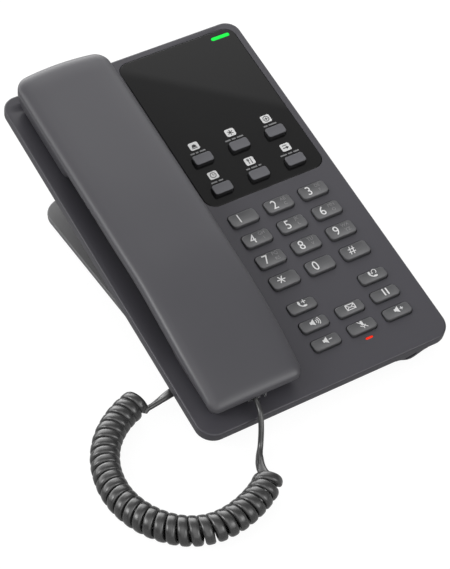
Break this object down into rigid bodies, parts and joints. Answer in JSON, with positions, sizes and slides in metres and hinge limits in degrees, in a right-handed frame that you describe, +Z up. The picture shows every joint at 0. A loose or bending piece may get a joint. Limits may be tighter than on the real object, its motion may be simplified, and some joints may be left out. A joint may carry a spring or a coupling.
{
  "type": "desk ip phone",
  "caption": "Sloped desk phone base with a coil-corded handset in a left cradle, a dial and function keypad, a glossy panel with service keys, a message light and a fold-out stand.",
  "frame": {"origin": "on the desk, at the middle of the front rubber foot's resting face", "axes": "+X to the user's right, +Y from the front edge towards the raised rear, +Z up; the case is tilted 11.68 degrees about X, rear up"},
  "size_m": [0.1886, 0.261, 0.0726],
  "materials": {
    "case_plastic": "fine matt texture, moulded",
    "handset_plastic": "satin, very fine texture",
    "base_plastic": "matt, moulded",
    "key_plastic": "satin key caps with light printed symbols",
    "service_key_plastic": "satin key caps",
    "panel_gloss": "polished black acrylic",
    "green_light": "lit light guide",
    "red_light": "lit light guide",
    "silicone": "moulded silicone",
    "circuit_board": "solder resist",
    "jack_plastic": "moulded",
    "clear_plastic": "clear moulded plug",
    "cord_rubber": "smooth, slightly shiny jacket",
    "foot_rubber": "matt",
    "speaker_metal": "plain",
    "steel": "plated"
  },
  "bodies": {
    "base": {"top_case": "case_plastic", "bottom_case": "base_plastic", "front_panel": "panel_gloss", "message_light": "green_light", "mute_light": "red_light", "keypad_mat": "silicone", "service_key_mat": "silicone", "main_board": "circuit_board", "lan_jack": "jack_plastic", "pc_jack": "jack_plastic", "base_line_jack": "jack_plastic", "base_cord_plug": "clear_plastic", "loudspeaker": "speaker_metal", "hands_free_microphone": "speaker_metal", "hook_switch": "jack_plastic", "front_foot": "foot_rubber", "stand_pin_left": "steel", "stand_pin_right": "steel", "case_screw_1": "steel", "case_screw_2": "steel", "case_screw_3": "steel", "case_screw_4": "steel", "handset_cord": "cord_rubber"},
    "handset": {"handset_top_shell": "handset_plastic", "handset_bottom_shell": "handset_plastic", "receiver_capsule": "speaker_metal", "handset_microphone": "speaker_metal", "handset_jack": "jack_plastic", "handset_cord_plug": "clear_plastic"},
    "hook": {"hook_plunger": "key_plastic"},
    "stand": {"stand_plate": "base_plastic", "stand_foot_left": "foot_rubber", "stand_foot_right": "foot_rubber"},
    "key_1_cap": {"key_1": "key_plastic"},
    "key_2_cap": {"key_2": "key_plastic"},
    "key_3_cap": {"key_3": "key_plastic"},
    "key_4_cap": {"key_4": "key_plastic"},
    "key_5_cap": {"key_5": "key_plastic"},
    "key_6_cap": {"key_6": "key_plastic"},
    "key_7_cap": {"key_7": "key_plastic"},
    "key_8_cap": {"key_8": "key_plastic"},
    "key_9_cap": {"key_9": "key_plastic"},
    "key_star_cap": {"key_star": "key_plastic"},
    "key_0_cap": {"key_0": "key_plastic"},
    "key_hash_cap": {"key_hash": "key_plastic"},
    "transfer_key_cap": {"transfer_key": "key_plastic"},
    "redial_key_cap": {"redial_key": "key_plastic"},
    "speaker_key_cap": {"speaker_key": "key_plastic"},
    "message_key_cap": {"message_key": "key_plastic"},
    "hold_key_cap": {"hold_key": "key_plastic"},
    "volume_down_key_cap": {"volume_down_key": "key_plastic"},
    "mute_key_cap": {"mute_key": "key_plastic"},
    "volume_up_key_cap": {"volume_up_key": "key_plastic"},
    "service_key_1_cap": {"service_key_1": "service_key_plastic"},
    "service_key_2_cap": {"service_key_2": "service_key_plastic"},
    "service_key_3_cap": {"service_key_3": "service_key_plastic"},
    "service_key_4_cap": {"service_key_4": "service_key_plastic"},
    "service_key_5_cap": {"service_key_5": "service_key_plastic"},
    "service_key_6_cap": {"service_key_6": "service_key_plastic"}
  },
  "joints": [
    {"name": "handset_lift", "type": "slide", "parent": "base", "child": "handset", "axis": [0, -0.2024, 0.9793], "range_m": [0, 0.06], "deforming": ["handset_cord"]},
    {"name": "hook_rise", "type": "slide", "parent": "base", "child": "hook", "axis": [0, -0.2024, 0.9793], "range_m": [0, 0.003]},
    {"name": "stand_fold", "type": "hinge", "parent": "base", "child": "stand", "pos_m": [0, 0.04294, 0.01459], "axis": [1, 0, 0], "range_deg": [0, 7.2]},
    {"name": "key_1_press", "type": "slide", "parent": "base", "child": "key_1_cap", "axis": [0, 0.2024, -0.9793], "range_m": [0, 0.001]},
    {"name": "key_2_press", "type": "slide", "parent": "base", "child": "key_2_cap", "axis": [0, 0.2024, -0.9793], "range_m": [0, 0.001]},
    {"name": "key_3_press", "type": "slide", "parent": "base", "child": "key_3_cap", "axis": [0, 0.2024, -0.9793], "range_m": [0, 0.001]},
    {"name": "key_4_press", "type": "slide", "parent": "base", "child": "key_4_cap", "axis": [0, 0.2024, -0.9793], "range_m": [0, 0.001]},
    {"name": "key_5_press", "type": "slide", "parent": "base", "child": "key_5_cap", "axis": [0, 0.2024, -0.9793], "range_m": [0, 0.001]},
    {"name": "key_6_press", "type": "slide", "parent": "base", "child": "key_6_cap", "axis": [0, 0.2024, -0.9793], "range_m": [0, 0.001]},
    {"name": "key_7_press", "type": "slide", "parent": "base", "child": "key_7_cap", "axis": [0, 0.2024, -0.9793], "range_m": [0, 0.001]},
    {"name": "key_8_press", "type": "slide", "parent": "base", "child": "key_8_cap", "axis": [0, 0.2024, -0.9793], "range_m": [0, 0.001]},
    {"name": "key_9_press", "type": "slide", "parent": "base", "child": "key_9_cap", "axis": [0, 0.2024, -0.9793], "range_m": [0, 0.001]},
    {"name": "key_star_press", "type": "slide", "parent": "base", "child": "key_star_cap", "axis": [0, 0.2024, -0.9793], "range_m": [0, 0.001]},
    {"name": "key_0_press", "type": "slide", "parent": "base", "child": "key_0_cap", "axis": [0, 0.2024, -0.9793], "range_m": [0, 0.001]},
    {"name": "key_hash_press", "type": "slide", "parent": "base", "child": "key_hash_cap", "axis": [0, 0.2024, -0.9793], "range_m": [0, 0.001]},
    {"name": "transfer_key_press", "type": "slide", "parent": "base", "child": "transfer_key_cap", "axis": [0, 0.2024, -0.9793], "range_m": [0, 0.001]},
    {"name": "redial_key_press", "type": "slide", "parent": "base", "child": "redial_key_cap", "axis": [0, 0.2024, -0.9793], "range_m": [0, 0.001]},
    {"name": "speaker_key_press", "type": "slide", "parent": "base", "child": "speaker_key_cap", "axis": [0, 0.2024, -0.9793], "range_m": [0, 0.001]},
    {"name": "message_key_press", "type": "slide", "parent": "base", "child": "message_key_cap", "axis": [0, 0.2024, -0.9793], "range_m": [0, 0.001]},
    {"name": "hold_key_press", "type": "slide", "parent": "base", "child": "hold_key_cap", "axis": [0, 0.2024, -0.9793], "range_m": [0, 0.001]},
    {"name": "volume_down_key_press", "type": "slide", "parent": "base", "child": "volume_down_key_cap", "axis": [0, 0.2024, -0.9793], "range_m": [0, 0.001]},
    {"name": "mute_key_press", "type": "slide", "parent": "base", "child": "mute_key_cap", "axis": [0, 0.2024, -0.9793], "range_m": [0, 0.001]},
    {"name": "volume_up_key_press", "type": "slide", "parent": "base", "child": "volume_up_key_cap", "axis": [0, 0.2024, -0.9793], "range_m": [0, 0.001]},
    {"name": "service_key_1_press", "type": "slide", "parent": "base", "child": "service_key_1_cap", "axis": [0, 0.2024, -0.9793], "range_m": [0, 0.001]},
    {"name": "service_key_2_press", "type": "slide", "parent": "base", "child": "service_key_2_cap", "axis": [0, 0.2024, -0.9793], "range_m": [0, 0.001]},
    {"name": "service_key_3_press", "type": "slide", "parent": "base", "child": "service_key_3_cap", "axis": [0, 0.2024, -0.9793], "range_m": [0, 0.001]},
    {"name": "service_key_4_press", "type": "slide", "parent": "base", "child": "service_key_4_cap", "axis": [0, 0.2024, -0.9793], "range_m": [0, 0.001]},
    {"name": "service_key_5_press", "type": "slide", "parent": "base", "child": "service_key_5_cap", "axis": [0, 0.2024, -0.9793], "range_m": [0, 0.001]},
    {"name": "service_key_6_press", "type": "slide", "parent": "base", "child": "service_key_6_cap", "axis": [0, 0.2024, -0.9793], "range_m": [0, 0.001]}
  ],
  "couplings": [
    {"joint": "hook_rise", "follows": "handset_lift", "ratio": 0.05}
  ]
}
